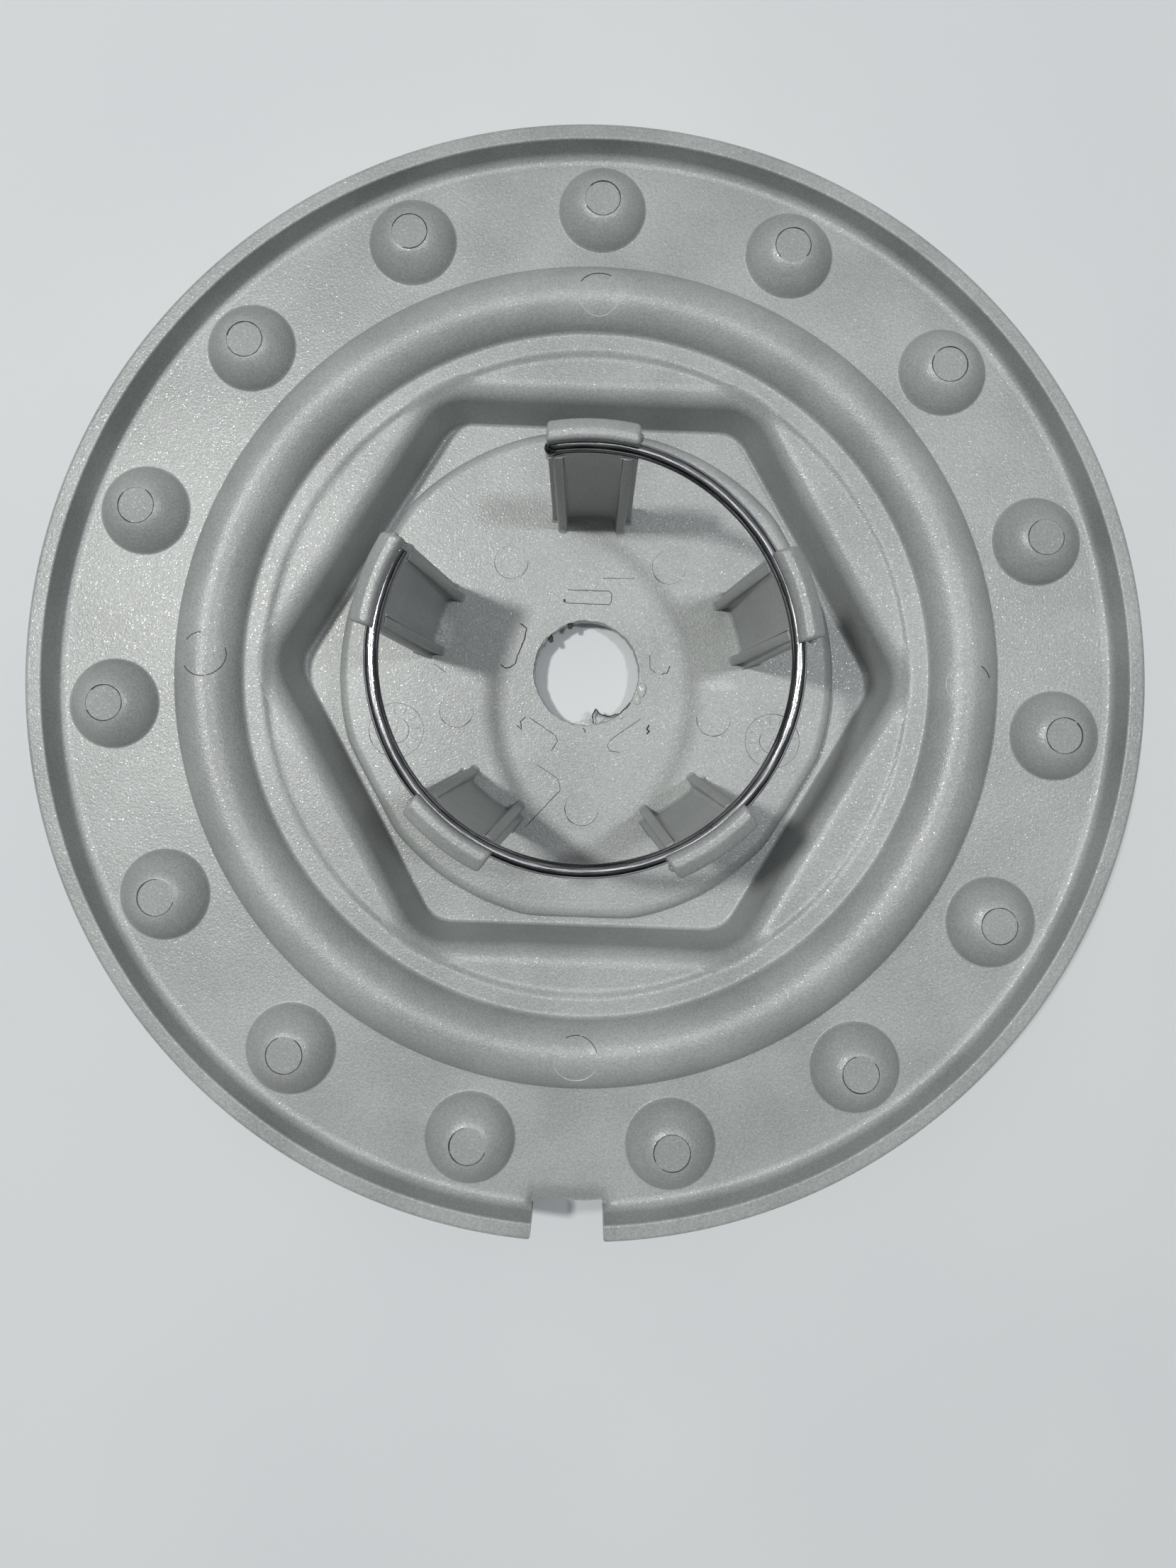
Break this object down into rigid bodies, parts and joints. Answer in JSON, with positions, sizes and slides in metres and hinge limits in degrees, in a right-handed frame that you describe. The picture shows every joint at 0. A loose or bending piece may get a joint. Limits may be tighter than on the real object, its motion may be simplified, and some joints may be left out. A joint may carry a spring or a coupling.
{
  "type": "wheel centre cap",
  "caption": "Round moulded wheel centre cap seen from behind: domed web with a hexagonal pocket, a clip plate with a circle of snap clips and a split spring wire.",
  "frame": {"origin": "front face of the hexagonal boss, on the cap's axis", "axes": "+Z along the cap's axis towards the back, where the clips stand; +Y away from the notch in the rim"},
  "size_m": [0.154, 0.1538, 0.0436],
  "materials": {
    "shell_plastic": "silver-grey moulded plastic with fine metallic flake, satin",
    "clip_plastic": "silver-grey moulded plastic with fine metallic flake, satin",
    "spring_wire": "bright round spring wire"
  },
  "bodies": {
    "root": {"cap_shell": "shell_plastic", "clip_plate": "clip_plastic", "retaining_ring": "spring_wire"}
  },
  "joints": []
}
